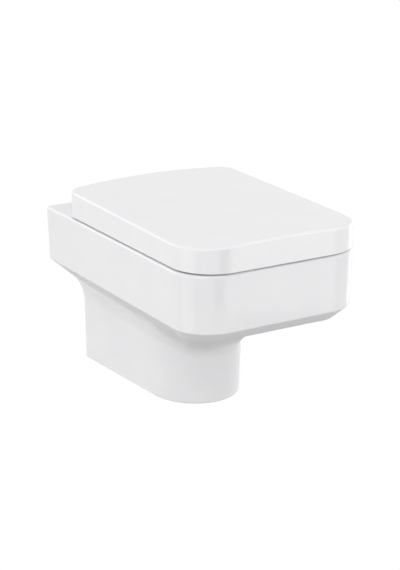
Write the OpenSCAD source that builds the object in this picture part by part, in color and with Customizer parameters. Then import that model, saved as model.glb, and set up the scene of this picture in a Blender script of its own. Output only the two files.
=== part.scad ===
// Wall hung toilet with a skirted pan, a seat and a wrap-over cover, all in millimetres.
// The origin is midway between the two wall studs on the wall plane; +Z is up, the front faces -Y.

/* [Pan] */
// Width of the rim block
pan_w = 360; // [352:1:368]
// Projection of the rim block from the wall
pan_d = 549; // [540:1:560]
// Height of the pan from its underside to the deck
pan_h = 324.5; // [318:0.5:330]
// Height of the rim block's straight sides
rim_h = 105; // [98:1:110]
// Plan radius of the rim block's front corners
rim_corner = 72.5; // [60:0.5:80]
// Inward draft of the rim block's sides from top to bottom
rim_draft = 3.4; // [1:0.2:5]
// Rounding of the deck's outer edge
rim_round = 5.5; // [3:0.5:8]
// Thickness of the china shell
china_t = 10; // [8:0.5:11]
// Thickness of the deck
deck_t = 14; // [12:1:16]
// Width of the skirt at the wall
skirt_w = 208; // [204:1:214]
// How much each side of the skirt closes in towards its round front
skirt_taper = 14.5; // [8:0.5:20]
// Projection of the skirt from the wall
skirt_d = 342; // [332:1:345]
// Backward lean of the skirt's lower front
skirt_lean = 3.2; // [1:0.2:6]

/* [Bowl and trap] */
// Width of the bowl's mouth
mouth_w = 276; // [268:1:282]
// Width of the deck in front of the mouth
mouth_front = 34; // [30:1:38]
// Distance from the wall to the back of the mouth
mouth_back = 168; // [166:1:176]
// Depth of the upright wall under the mouth, down to the flush ledge
ledge_depth = 36; // [32:1:40]
// Width of the flush ledge
ledge_w = 12; // [9:1:14]
// Bore radius of the trap
trap_r = 37; // [35:0.5:38]
// Distance from the wall to the weir
weir_y = 150; // [146:1:154]
// Depth of the weir passage's centre under the studs
weir_z = 48; // [46:1:52]

/* [Wall connections] */
// Height of the deck above the studs
stud_drop = 80; // [76:1:84]
// Distance between the studs
stud_gap = 180; // [178:1:182]
// Radius of the bracket holes
stud_hole_r = 6.5; // [6.25:0.25:7]
// Height of the flush inlet above the studs
inlet_z = 35; // [34:0.5:36]
// Bore radius of the flush inlet
inlet_r = 27.5; // [26:0.5:28]
// Depth of the inlet's full bore
inlet_depth = 62; // [50:1:66]
// Depth of the outlet under the studs
outlet_z = 100; // [98:1:102]
// Outer radius of the outlet spigot
spigot_r = 51; // [50:0.5:52]
// Length of the outlet spigot
spigot_len = 60; // [50:1:66]

/* [Wall fixing] */
// Width of a wall bracket
bracket_w = 44; // [36:1:46]
// Steel thickness of a wall bracket
bracket_t = 4; // [3:0.5:5]
// Length of a bracket's tongue
bracket_len = 62; // [56:1:66]
// Height of the china shelf's underside under the studs
shelf_z = 32; // [30:1:36]
// Thickness of the china shelf
shelf_t = 16; // [12:1:16]
// Distance from the wall to the lock screws
lock_y = 42; // [38:1:46]
// Distance from the centre plane to a lock screw
lock_x = 82; // [80:1:83]
// Thread radius of a lock screw
lock_r = 4; // [3:0.5:4]
// Radius of the access holes in the pan's underside
access_r = 7; // [6:0.5:8]

/* [Hinges] */
// Distance between the two hinge holes
hinge_gap = 155; // [153:1:157]
// Distance from the wall to the hinge axis
hinge_y = 62; // [60:0.5:64]
// Height of the hinge axis above the deck
hinge_h = 36; // [36:0.5:37]
// Radius of the hinge holes in the deck
hinge_hole_r = 7; // [6.5:0.5:7.5]
// Radius of the hinge pins
pin_r = 4; // [3:0.5:4.5]
// Radius of the hinge barrels
barrel_r = 11; // [10.5:0.5:11.5]
// Width of a hinge post
post_w = 22; // [20:1:24]
// Radius of a base plate
base_r = 18; // [16:0.5:18.5]
// Thickness of a base plate
base_t = 4; // [3:0.5:4.5]
// Thickness of the rubber disc under a base plate
disc_t = 1.5; // [1:0.5:2]
// Radius of a base plate's spigot
spigot_post_r = 7.5; // [7:0.25:8]
// Height of a base plate's spigot
spigot_post_h = 15; // [12:1:16]
// Radius of a damper or a hinge bush
damper_r = 8; // [7.5:0.25:8.25]
// Length of a damper or a hinge bush
damper_len = 21; // [18:1:22]
// Thread radius of a hinge bolt
bolt_r = 3; // [2.5:0.5:3]

/* [Seat] */
// Gap between the seat's sides and the inside of the cover
seat_side_gap = 5.5; // [4.5:0.5:8.5]
// Gap between the seat's front and the inside of the cover
seat_front_gap = 5; // [4:0.5:8]
// Distance from the wall to the back of the seat
seat_back = 106; // [106:0.5:110]
// Plan radius of the seat's back corners
seat_back_corner = 40; // [36:1:46]
// Thickness of the seat
seat_t = 24; // [20:1:24]
// Height of the rubber pads under the seat
seat_pad_h = 5; // [4:0.5:6]
// Width of the seat's opening
seat_hole_w = 222; // [210:1:230]
// Length of the seat's opening
seat_hole_len = 285; // [275:1:295]
// Distance from the seat's front to its opening
seat_hole_front = 72; // [66:1:76]

/* [Cover] */
// How far the cover's sides lie inside the pan's
cover_side = 1.5; // [0.5:0.5:3.5]
// How far the cover's front stands out past the pan's
cover_front = 5; // [3:1:7]
// Distance from the wall to the back of the cover
cover_back = 85.4; // [84:0.2:87]
// How far the cover's back edge bulges
cover_bow = 4.6; // [0:0.2:5]
// Gap between the cover and the deck
cover_gap = 3; // [2.5:0.1:4]
// Height of the cover's front edge above the deck
cover_h = 45; // [44:0.5:46]
// Rise of the cover's top from front to back
cover_rise = 7; // [5:0.5:7]
// Crown of the cover's top across its width
cover_crown = 7.9; // [5:0.1:8]
// Plan radius of the cover's front corners
cover_corner = 79; // [60:1:85]
// Plan radius of the cover's back corners
cover_back_corner = 25.5; // [20:0.5:28]
// Rounding of the cover's top edge
cover_round = 5; // [4:0.5:7]
// Wall thickness of the cover
cover_t = 5; // [4:0.5:5.5]

/* [Hidden] */

$fn = 96;
eps = 0.5; // how far a cutter runs past the face it opens
fit = 0.05; // radial play of pins, bushes and dampers
side_play = 0.5; // gap between neighbouring hinge barrels
loose = 0.3; // radial clearance of plain screw holes

deck_z = stud_drop;
rim_z = deck_z - rim_h;
foot_z = deck_z - pan_h;
axis_z = deck_z + hinge_h;
axis_y = -hinge_y;
post_x = hinge_gap / 2;
cover_w = pan_w - 2 * cover_side;
cover_d = pan_d + cover_front;
seat_w = cover_w - 2 * (cover_t + seat_side_gap);

// Plan outlines, each a list of points that runs clockwise seen from above, starting at the back
side_steps = 10; // points along a straight side
arc_steps = 8; // points along a corner
end_steps = 5; // points along half a front or back edge

// Right half of a plan with round corners, from the back centre to the front centre
function half_plan(hw, front, back, rf, rb = 0, bow = 0) = concat(
    [for (i = [0 : end_steps - 1]) let (x = (hw - rb) * i / end_steps)
        [x, back + bow * (1 - pow(x / hw, 2))]],
    rb == 0 ? [[hw, back]] :
        [for (i = [0 : arc_steps]) let (a = 90 - 90 * i / arc_steps, x = hw - rb + rb * cos(a))
            [x, back - rb + rb * sin(a) + bow * (1 - pow(x / hw, 2))]],
    [for (i = [1 : side_steps - 1]) let (y0 = back - rb, y1 = front + rf)
        [hw, y0 + (y1 - y0) * i / side_steps]],
    [for (i = [0 : arc_steps]) let (a = -90 * i / arc_steps)
        [hw - rf + rf * cos(a), front + rf + rf * sin(a)]],
    [for (i = [1 : end_steps]) [(hw - rf) * (1 - i / end_steps), front]]);

// The whole plan from its right half, which has its first and last points on the centre plane
function mirrored(half) = concat(half,
    [for (i = [len(half) - 2 : -1 : 1]) [-half[i][0], half[i][1]]]);

// An egg-shaped plan whose widest place lies 42% of the way from back to front
egg_steps = 44;
function egg(hw, front, back, power) = let (mid = back + 0.42 * (front - back))
    [for (i = [0 : egg_steps - 1]) let (a = 90 - 360 * i / egg_steps, s = sin(a), c = cos(a))
        [sign(c) * hw * pow(abs(c), power),
         mid + (s > 0 ? back - mid : mid - front) * sign(s) * pow(abs(s), power)]];

function at_height(plan, z) = [for (p = plan) [p[0], p[1], z]];

// A closed skin over a stack of rings, listed from top to bottom; a looped stack has no caps.
// Its flat caps fan out from point `hub_point`, which lies on no straight edge.
module skin(rings, looped = false, hub_point = 0) {
    n = len(rings[0]);
    m = len(rings);
    pairs = looped ? m : m - 1;
    sides = [for (i = [0 : pairs - 1], j = [0 : n - 1])
        let (a = i * n, b = ((i + 1) % m) * n, k = (j + 1) % n)
        each [[a + j, b + k, a + k], [a + j, b + j, b + k]]];
    round = [for (j = [0 : n - 1]) (j + hub_point) % n];
    caps = looped ? [] : [round, [for (j = [n - 1 : -1 : 0]) (m - 1) * n + round[j]]];
    polyhedron(points = [for (r = rings) each r], faces = concat(sides, caps), convexity = 10);
}

// Both sides of the toilet
module pair() {
    children();
    mirror([1, 0, 0]) children();
}

// Pan

rim_arc = 5; // straight steps in the deck's rounded edge

// Outer side of the rim block in section: drafted wall and rounded top, for a wall at distance `reach`
function rim_edge(reach) = let (
        lean = atan(rim_draft / rim_h),
        cx = reach - rim_draft * rim_round / rim_h - rim_round / cos(lean),
        cz = deck_z - rim_round)
    concat([[reach - rim_draft, rim_z]],
        [for (i = [0 : rim_arc]) let (a = -lean + (90 + lean) * i / rim_arc)
            [cx + rim_round * cos(a), cz + rim_round * sin(a)]]);

module rim_block() {
    hw = pan_w / 2;
    edge = rim_edge(hw);
    rotate([90, 0, 0]) linear_extrude(pan_d - rim_corner)
        polygon(concat(edge, [for (i = [len(edge) - 1 : -1 : 0]) [-edge[i][0], edge[i][1]]]));
    translate([-(hw - rim_corner), 0, 0]) rotate([90, 0, 90]) linear_extrude(pan_w - 2 * rim_corner)
        polygon(concat([[-rim_corner, deck_z], [-rim_corner, rim_z]],
            [for (p = rim_edge(pan_d)) [-p[0], p[1]]]));
    pair() translate([hw - rim_corner, -(pan_d - rim_corner), 0]) rotate([0, 0, -90])
        rotate_extrude(angle = 90)
            polygon(concat([[0, deck_z], [0, rim_z]], rim_edge(rim_corner)));
}

// The band under the rim and the flare that leads into the skirt, in section
band_side = [48.7, 42.7]; // inward and downward reach of the band at the sides
band_front = [27.8, 24.1]; // the same at the front
slope_side = 41.2; // slope of the soffit after the band at the sides, in degrees
slope_reach = 88; // the furthest inwards that this slope is carried on
knee_front = 79; // depth under the rim at which soffit and flare would meet at the front
flare_side = 31.8; // height of the flare's upright leg at the sides
flare_front = 52; // the same at the front
flare_steps = 8;
foot_round = 4; // rounding of the skirt's bottom edge
skirt_draft = 1.7; // inward draft of the skirt's sides down to the foot
skirt_nose = 91; // plan radius of the skirt's front
ledge_step = 0.3; // how far the soffit starts inside the rim block's lower edge
lap = 6; // how far the soffit's skin runs up into the rim block
lap_inset = 1; // how far it closes in on the way up
turn_start = 2.2; // where the front begins, in corner radii behind the front edge
turn_span = 1.9; // how far it takes to become the front, in corner radii
hold_side = 0.55; // how long the soffit keeps its slope at the sides, as a share of its way
hold_front = 0.8; // the same at the front
lift = 0.55; // how much of the flare's upright leg its curve keeps
inner_lift = 0.7; // how far the hollow's soffit lies above the outer one, as a share of the china

// Length along an outline from point `start` to point `i`
function walked(p, i, start) = i <= start ? 0 : norm(p[i] - p[i - 1]) + walked(p, i - 1, start);

// Share of the skirt's outline that answers to a share of the rim's: alike by the wall, slower in front
tail_share = 0.43;
lead = 2.28;
function skirt_share(t) = (1 - tail_share) * (1 - pow(1 - t, lead)) + tail_share * t;

// Right half of the skirt's plan, `inset` mm inside, with as many points as the rim's plan
function half_skirt(inset, back, draft, lean) = let (
        rim = rim_plan(0, 0),
        n = len(rim) - 1,
        whole = walked(rim, n, end_steps),
        nose = skirt_nose - inset,
        y1 = -skirt_d + lean + inset + nose,
        wide = skirt_w / 2 - draft - inset,
        narrow = wide - skirt_taper,
        tilt = atan(skirt_taper / -y1),
        side = -y1,
        turn = nose * PI * (90 - tilt) / 180)
    concat([for (i = [0 : end_steps]) [wide * i / end_steps, back]],
        [for (i = [end_steps + 1 : n]) let (
            m = skirt_share(walked(rim, i, end_steps) / whole) * (side + turn),
            a = tilt + (90 - tilt) * min(1, (m - side) / turn))
            m < side ? [mix(wide, narrow, m / side), mix(back, y1, m / side)] :
                [narrow * cos(a) / cos(tilt), y1 - nose * (sin(a) - sin(tilt)) / (1 - sin(tilt))]]);

// How far the skirt lies inwards of a point of the rim, square to the rim's edge
function square_reach(rim, top, i, n) = let (
        k = max(i, end_steps),
        t = rim[min(k + 1, n)] - rim[max(k - 1, end_steps)],
        out = [-t[1], t[0]] / norm(t))
    (rim[k] - top[k]) * out;

// How far a point of the rim's plan lies round to the front: 0 on the sides, 1 on the front edge
function frontness(p) = let (
        walked_in = (-p[1] - (pan_d - turn_start * rim_corner)) / (turn_span * rim_corner),
        t = max(0, min(1, walked_in)))
    t * t * (3 - 2 * t);

function mix(a, b, t) = a + (b - a) * t;
function bezier(a, b, c, d, t) = let (s = 1 - t)
    s * s * s * a + 3 * s * s * t * b + 3 * s * t * t * c + t * t * t * d;

// Right half of the rim block's lower edge, `inset` mm inside
function rim_plan(inset, back) = let (in = rim_draft + ledge_step + inset)
    half_plan(pan_w / 2 - in, -pan_d + in, back, rim_corner - in);

corner_point = end_steps + side_steps + arc_steps / 2; // a point on the round front corner

// Rings of the soffit and the skirt, `inset` mm inside the outer surface
function skirt_rings(inset) = let (
        back = inset > 0 ? eps : 0,
        rim = rim_plan(inset, back),
        top = half_skirt(inset, back, 0, 0),
        n = len(rim) - 1,
        reach = [for (i = [0 : n]) square_reach(rim, top, i, n)],
        f = [for (p = rim) frontness(p)],
        band = [for (i = [0 : n]) mix(band_side, band_front, f[i])],
        knee_side = [for (i = [0 : n])
            band_side[1] + (min(slope_reach, reach[i]) - band_side[0]) * tan(slope_side)],
        knee = [for (i = [0 : n]) mix(knee_side[i], knee_front, f[i])],
        end = [for (i = [0 : n]) knee[i] + mix(flare_side, flare_front, f[i])],
        z0 = rim_z + inset * inner_lift,
        foot = foot_z + inset)
    concat(
        [at_height(mirrored(rim_plan(inset + lap_inset, back)), z0 + lap)],
        [at_height(mirrored(rim), z0)],
        [for (k = [0 : flare_steps]) let (
            t = k / flare_steps,
            half = [for (i = [0 : n]) let (
                u = min(1, band[i][0] / max(reach[i], 1)),
                hold = mix(hold_side, hold_front, f[i]),
                w = bezier(u, mix(u, 1, hold), 1, 1, t),
                z = bezier(band[i][1], mix(band[i][1], knee[i], hold), mix(end[i], knee[i], lift), end[i], t))
                concat(mix(rim[i], top[i], w), z0 - z)])
            concat(half, [for (i = [n - 1 : -1 : 1]) [-half[i][0], half[i][1], half[i][2]]])],
        [for (a = [0, 45, 90]) at_height(
            mirrored(half_skirt(inset + foot_round * (1 - cos(a)), back, skirt_draft, skirt_lean)),
            foot + foot_round * (1 - sin(a)))]);

bowl_floor = 39; // height of the bowl's lowest point above the pan's underside
bowl_depth = pan_h - bowl_floor;
mouth_len = pan_d - mouth_front - mouth_back;
mouth_over = 1; // how far the bowl's cutter runs up past the deck
mouth_ease = 4; // height over which the mouth's edge closes in by half as much
ledge_fall = 3; // fall of the flush ledge towards the bowl

// Bowl sections under the flush ledge, as shares: of the depth, of the mouth's half width,
// and of the mouth's length for the section's front and back
bowl_shares = [
    [0.229, 0.841, 0.902, 0.069],
    [0.317, 0.768, 0.824, 0.092],
    [0.405, 0.674, 0.7205, 0.121],
    [0.493, 0.58, 0.608, 0.15],
    [0.581, 0.4855, 0.4957, 0.196],
    [0.669, 0.406, 0.432, 0.248],
    [0.757, 0.3406, 0.415, 0.271],
    [0.863, 0.29, 0.409, 0.271],
    [0.951, 0.232, 0.389, 0.271],
    [1, 0.13, 0.352, 0.277]];

// A section of the mouth, `inset` mm inside its edge: height, half width, front and back
function mouth_section(z, inset) =
    [z, mouth_w / 2 - inset, -(pan_d - mouth_front) + inset, -mouth_back - inset];

bowl_list = concat([
    mouth_section(deck_z + mouth_over, -mouth_ease / 4),
    mouth_section(deck_z - mouth_ease, mouth_ease / 2),
    mouth_section(deck_z - ledge_depth, mouth_ease),
    mouth_section(deck_z - ledge_depth - ledge_fall, mouth_ease + ledge_w)],
    [for (b = bowl_shares) [deck_z - bowl_depth * b[0], b[1] * mouth_w / 2,
        -mouth_back - b[2] * mouth_len, -mouth_back - b[3] * mouth_len]]);
bowl_t = 9; // china thickness round the bowl
slope_share = 0.8; // how much of it counts downwards on the bowl's slopes
mouth_power = 0.86; // fullness of the mouth's outline; 1 is an ellipse
round_from = 6; // the bowl's section from which its outline is an ellipse

function bowl_rings(extra) = [for (i = [0 : len(bowl_list) - 1]) let (
        b = bowl_list[i],
        z = b[0] - extra * (i > 1 && i < len(bowl_list) - 1 ? slope_share : 1),
        power = mix(mouth_power, 1, min(1, i / round_from)))
    at_height(egg(b[1] + extra, b[2] - extra, b[3] + extra, power), z)];

// A round passage between two points on the centre plane, each given as distance from the wall and height
module leg(a, b, r) {
    d = [0, -(b[0] - a[0]), b[1] - a[1]];
    translate([0, -a[0], a[1]]) rotate([acos(d[2] / norm(d)) * (d[1] > 0 ? -1 : 1), 0, 0])
        cylinder(r = r, h = norm(d));
}

// The trap: under the bowl's back wall, up over the weir and down to the outlet
// The sump lies on whole millimetres, under the bowl's lowest sections
sump_share = [0.3, 0.887]; // its place along the mouth from the back, and down the bowl
sump_y = round(mouth_back + sump_share[0] * mouth_len);
sump_z = round(sump_share[1] * bowl_depth - deck_z);
bend_extra = 0.6; // a bend's ball stands this much proud of the legs
heel_len = 35; // level run under the bowl's back wall
drop_y = 95; // distance from the wall to where the trap turns level for the outlet
outlet_extra = 1.5; // how much wider the outlet's bore is than the trap's
module trap(r, end_y) {
    sump = [sump_y, -sump_z];
    heel = [sump_y - heel_len, -sump_z];
    weir = [weir_y, -weir_z];
    drop = [drop_y, -outlet_z];
    leg(sump, heel, r);
    leg(heel, weir, r);
    leg(weir, drop, r);
    for (p = [sump, heel, weir, drop]) translate([0, -p[0], p[1]]) sphere(r = r + bend_extra);
    leg(drop, [end_y, -outlet_z], r + outlet_extra);
}

shelf_x0 = 60; // inner edge of a china shelf
shelf_y0 = 10; // distance from the wall to a china shelf
shelf_end = 2; // how far a shelf's outer end stays inside the shell's inner face
inlet_wall = 8.5;
inlet_floor = 6; // china behind the inlet's full bore
duct_r = 18; // flush duct from the inlet to the bowl
duct_over = 25; // how far the duct's bore runs on into the bowl
hole_over = 2; // how far a screw hole's cutter runs past each face
lug_wall = 4; // wall of the nylon bush round a lock screw
lug_hole_r = lock_r + lug_wall; // radius of the hole in a china shelf

module pan_body() {
    color("white") difference() {
        union() {
            difference() {
                union() {
                    rim_block();
                    skin(skirt_rings(0), hub_point = corner_point);
                }
                cavity();
            }
            skin(bowl_rings(bowl_t));
            trap(trap_r + bowl_t, spigot_len / 2);
            translate([0, 0, -outlet_z]) rotate([90, 0, 0]) cylinder(r = spigot_r, h = spigot_len);
            translate([0, 0, inlet_z]) rotate([90, 0, 0])
                cylinder(r = inlet_r + inlet_wall, h = inlet_depth + inlet_floor);
            translate([0, 0, inlet_z]) rotate([90, 0, 0]) cylinder(r = duct_r + bowl_t, h = mouth_back);
            pair() translate([shelf_x0, -bracket_len - shelf_y0, -shelf_z])
                cube([shell_in - shelf_end - shelf_x0, bracket_len, shelf_t]);
        }
        skin(bowl_rings(0));
        trap(trap_r, -1);
        translate([0, 1, inlet_z]) rotate([90, 0, 0]) cylinder(r = inlet_r, h = inlet_depth + 1);
        translate([0, 0, inlet_z]) rotate([90, 0, 0]) cylinder(r = duct_r, h = mouth_back + duct_over);
        pair() {
            translate([post_x, axis_y, deck_z - deck_t - hole_over])
                cylinder(r = hinge_hole_r, h = deck_t + 2 * hole_over);
            translate([lock_x, -lock_y, -shelf_z - hole_over])
                cylinder(r = lug_hole_r, h = shelf_t + 2 * hole_over);
            translate([lock_x, -lock_y, foot_z - hole_over])
                cylinder(r = access_r, h = china_t + 2 * hole_over);
        }
    }
}

shell_in = pan_w / 2 - rim_draft - china_t; // half width of the hollow inside the rim block
shoulder_h = 8; // height of the hollow's upright wall above the rim block's lower edge

// The open back and the hollow between the outer shell and the bowl
module cavity() {
    hw = shell_in;
    r = rim_corner - china_t;
    front = pan_d - rim_draft - china_t;
    top = deck_z - deck_t;
    low = rim_z + shoulder_h;
    translate([-hw, -(front - r), low]) cube([2 * hw, front - r + 1, top - low]);
    translate([-(hw - r), -front, low]) cube([2 * (hw - r), r + 1, top - low]);
    pair() translate([hw - r, -(front - r), low]) cylinder(r = r, h = top - low);
    skin(skirt_rings(china_t), hub_point = corner_point);
}

// Wall fixing

// Everything at a stud is laid out from the wall forwards along -Y
module at_studs() {
    pair() translate([stud_gap / 2, 0, 0]) rotate([90, 0, 0]) children();
}

nut_h = 10;
nut_r = 10.4; // corner radius of the stud's nut
washer_r = 12;
washer_t = 2.5;
bracket_top = 16; // height of a bracket's plate above the studs

module wall_brackets() {
    low = -shelf_z - bracket_t;
    color("silver") pair() difference() {
        union() {
            translate([stud_gap / 2 - bracket_w / 2, -bracket_t, low])
                cube([bracket_w, bracket_t, bracket_top - low]);
            translate([stud_gap / 2 - bracket_w / 2, -bracket_len, low])
                cube([bracket_w, bracket_len, bracket_t]);
        }
        translate([stud_gap / 2, 1, 0]) rotate([90, 0, 0]) cylinder(r = stud_hole_r, h = bracket_t + 2);
        translate([lock_x, -lock_y, low - 1]) cylinder(r = lock_r + loose, h = bracket_t + 2);
    }
}

module stud_washers() {
    color("silver") at_studs() translate([0, 0, bracket_t]) difference() {
        cylinder(r = washer_r, h = washer_t);
        translate([0, 0, -1]) cylinder(r = stud_hole_r, h = washer_t + 2);
    }
}

module stud_nuts() {
    color("silver") at_studs() translate([0, 0, bracket_t + washer_t]) difference() {
        cylinder(r = nut_r, h = nut_h, $fn = 6);
        translate([0, 0, -1]) cylinder(r = stud_hole_r, h = nut_h + 2);
    }
}

module at_locks() {
    pair() translate([lock_x, -lock_y, -shelf_z]) children();
}

// Nylon bush pressed into the china shelf, with a flange on top
bush_flange_r = 11;
bush_flange_t = 2.5;
module lug_bushes() {
    color("gainsboro") at_locks() difference() {
        union() {
            cylinder(r = lug_hole_r - fit, h = shelf_t);
            translate([0, 0, shelf_t]) cylinder(r = bush_flange_r, h = bush_flange_t);
        }
        translate([0, 0, -1]) cylinder(r = lock_r + fit, h = shelf_t + bush_flange_t + 2);
    }
}

// Socket screw up through the bracket's tongue into the bush
module lock_screws() {
    head_r = 6.5;
    head_h = 8;
    key_r = 3.45; // corner radius of the hexagon socket
    key_h = 4;
    color("silver") at_locks() difference() {
        union() {
            translate([0, 0, -bracket_t - head_h]) cylinder(r = head_r, h = head_h);
            translate([0, 0, -bracket_t]) cylinder(r = lock_r, h = bracket_t + shelf_t + bush_flange_t);
        }
        translate([0, 0, -bracket_t - head_h - 1]) cylinder(r = key_r, h = key_h + 1, $fn = 6);
    }
}

// Hinges

module at_hinges() {
    pair() translate([post_x, axis_y, deck_z]) children();
}

disc_in = 0.5; // how far a rubber disc stays inside its base plate's edge
module base_washers() {
    color("dimgray") at_hinges() difference() {
        cylinder(r = base_r - disc_in, h = disc_t);
        translate([0, 0, -1]) cylinder(r = hinge_hole_r, h = disc_t + 2);
    }
}

bolt_head_r = 5;
bolt_head_h = 3.5;
head_deep = 1; // how far a bolt's head lies under the spigot's top
bolt_key_r = 2.9; // corner radius of the bolt's hexagon socket
head_floor = 1; // metal left under a hexagon socket
module hinge_bases() {
    color("silver") at_hinges() translate([0, 0, disc_t]) difference() {
        union() {
            cylinder(r = base_r, h = base_t);
            cylinder(r = spigot_post_r, h = base_t + spigot_post_h);
        }
        translate([0, 0, -1]) cylinder(r = bolt_r + loose, h = base_t + spigot_post_h + 2);
        translate([0, 0, base_t + spigot_post_h - bolt_head_h - head_deep])
            cylinder(r = bolt_head_r + loose, h = bolt_head_h + head_deep + 1);
    }
}

swell_r = 9.5; // radius of an expansion bush where it has swollen
swell_h = 20;
bush_nut_h = 8;
bolt_end = 2; // how far a hinge bolt stands out of its nut
bolt_under = deck_t + swell_h + bush_nut_h + bolt_end; // reach of a hinge bolt under the deck's top

module top_fix_bolts() {
    head_z = disc_t + base_t + spigot_post_h - bolt_head_h - head_deep;
    color("silver") at_hinges() difference() {
        union() {
            translate([0, 0, -bolt_under]) cylinder(r = bolt_r, h = bolt_under + head_z);
            translate([0, 0, head_z]) cylinder(r = bolt_head_r, h = bolt_head_h);
        }
        translate([0, 0, head_z + head_floor]) cylinder(r = bolt_key_r, h = bolt_head_h, $fn = 6);
    }
}

module expansion_bushes() {
    color("dimgray") at_hinges() translate([0, 0, -deck_t - swell_h]) difference() {
        union() {
            cylinder(r = hinge_hole_r - fit, h = deck_t + swell_h);
            cylinder(r1 = hinge_hole_r - fit, r2 = swell_r, h = swell_h / 2);
            translate([0, 0, swell_h / 2]) cylinder(r = swell_r, h = swell_h / 2);
        }
        translate([0, 0, -1]) cylinder(r = bolt_r + fit, h = deck_t + swell_h + 2);
    }
}

nut_in = 0.5; // how much smaller a bush's nut is than the hinge hole
module bush_nuts() {
    color("goldenrod") at_hinges() translate([0, 0, -deck_t - swell_h - bush_nut_h]) difference() {
        cylinder(r = hinge_hole_r - nut_in, h = bush_nut_h);
        translate([0, 0, -1]) cylinder(r = bolt_r + fit, h = bush_nut_h + 2);
    }
}

column_in = 0.6;
column_r = barrel_r - column_in; // a post's column is a little slimmer than its barrel
screw_r = 2.5; // thread radius of a post's grub screw
screw_up = 7;
screw_z = disc_t + base_t + screw_up; // height of a grub screw above the deck
screw_in = 0.3; // how far a grub screw lies under the column's surface
screw_key_r = 1.4; // corner radius of a grub screw's hexagon socket
module hinge_posts() {
    foot = disc_t + base_t;
    color("gainsboro") at_hinges() difference() {
        union() {
            translate([0, 0, foot]) cylinder(r = column_r, h = hinge_h - foot);
            translate([-post_w / 2, 0, hinge_h]) rotate([0, 90, 0]) cylinder(r = barrel_r, h = post_w);
        }
        translate([0, 0, foot - 1]) cylinder(r = spigot_post_r + fit, h = spigot_post_h + 2);
        translate([-post_w / 2 - 1, 0, hinge_h]) rotate([0, 90, 0]) cylinder(r = pin_r + fit, h = post_w + 2);
        translate([0, 0, screw_z]) rotate([-90, 0, 0]) cylinder(r = screw_r + fit, h = column_r + 1);
    }
}

module post_set_screws() {
    color("silver") at_hinges() translate([0, spigot_post_r, screw_z]) rotate([-90, 0, 0]) difference() {
        cylinder(r = screw_r, h = column_r - spigot_post_r - screw_in);
        translate([0, 0, head_floor]) cylinder(r = screw_key_r, h = column_r, $fn = 6);
    }
}

blind = 4; // wall left at the closed end of an arm's bore
arm_w = damper_len + blind; // width of a hinge arm
arm_in = post_w / 2 + side_play; // distance from a post's centre to the arm beside it

pin_in = 1; // how far a pin ends before the bottom of an arm's bore
module hinge_pins() {
    reach = arm_in + damper_len - pin_in;
    color("silver") pair() translate([post_x - reach, axis_y, axis_z]) rotate([0, 90, 0])
        cylinder(r = pin_r, h = 2 * reach);
}

// A hinge arm in section across the axis, extruded along X; the bore is blind and opens at x = 0
module arm(section) {
    difference() {
        union() {
            translate([0, axis_y, axis_z]) rotate([0, 90, 0]) cylinder(r = barrel_r, h = arm_w);
            rotate([90, 0, 90]) linear_extrude(arm_w) polygon(section);
        }
        translate([-1, axis_y, axis_z]) rotate([0, 90, 0]) cylinder(r = damper_r + fit, h = damper_len + 1);
        translate([-1, axis_y - key_w / 2 - fit, axis_z])
            cube([damper_len + 1, key_w + 2 * fit, damper_r + key_h + fit]);
    }
}

// A damper or a bush: a cylinder with a key along its top and a bore for the pin
key_w = 3;
key_h = 1.2;
hub_short = 0.2; // how much shorter a hub is than its bore
module hub() {
    length = damper_len - hub_short;
    key_z = (pin_r + damper_r) / 2;
    difference() {
        union() {
            translate([0, axis_y, axis_z]) rotate([0, 90, 0]) cylinder(r = damper_r, h = length);
            translate([0, axis_y - key_w / 2, axis_z + key_z]) cube([length, key_w, damper_r + key_h - key_z]);
        }
        translate([-1, axis_y, axis_z]) rotate([0, 90, 0]) cylinder(r = pin_r + fit, h = damper_len + 2);
    }
}

// A point of a hinge barrel in section, `turn` degrees from its top towards the front
function on_barrel(turn) = [axis_y - barrel_r * sin(turn), axis_z + barrel_r * cos(turn)];

// Places beside a post: the cover's arms lie outside the posts, the seat's arms inside
module outside_post() {
    translate([post_x + arm_in, 0, 0]) children();
}

module inside_post() {
    translate([post_x - arm_in, 0, 0]) mirror([1, 0, 0]) children();
}

// Seat

seat_z = deck_z + seat_pad_h;
seat_front = -cover_d + cover_t + seat_front_gap;
seat_corner = cover_corner - cover_t - seat_front_gap;
seat_lip = 6; // rounding of the seat's edges
seat_wall = 5.5; // wall thickness of the seat, which is hollow underneath
seat_foot = 0.5; // how much wider the seat's rims are at the bottom than its walls
seat_draft = 1.5; // inward draft of the walls inside the seat
seat_bevel = [1.5, 3]; // width and height of the bevel along the seat's lower outer edge
hole_lip = 1.6; // the opening's edge is rounder than the outer edge by this factor
hole_share = 0.42; // place of the opening's widest line, as a share of its length from the back
hole_power = 0.9; // fullness of the opening's outline; 1 is an ellipse
arm_root = 14; // how far a seat arm runs into the seat
arm_drop = 1; // how far its top starts under the seat's top
seat_len = -seat_back - seat_front;

// A place on the seat, given as shares of its half width and of its length from the front
function on_seat(share) = [share[0] * seat_w / 2, seat_front + share[1] * seat_len];

function offset_half(inset) = half_plan(seat_w / 2 - inset, seat_front + inset, -seat_back - inset,
    seat_corner - inset, seat_back_corner - inset);

// The opening's outline with as many points as the seat's outline, both starting at the back centre
function hole_plan(grow) = let (
        n = len(mirrored(offset_half(0))),
        front = seat_front + seat_hole_front,
        back = front + seat_hole_len,
        mid = back + hole_share * (front - back))
    [for (i = [0 : n - 1]) let (p = mirrored(offset_half(0))[i],
            a = atan2(p[1] - mid, p[0]), s = sin(a), c = cos(a))
        [sign(c) * (seat_hole_w / 2 + grow) * pow(abs(c), hole_power),
         mid + (s > 0 ? back - mid + grow : mid - front + grow) * sign(s) * pow(abs(s), hole_power)]];

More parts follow.
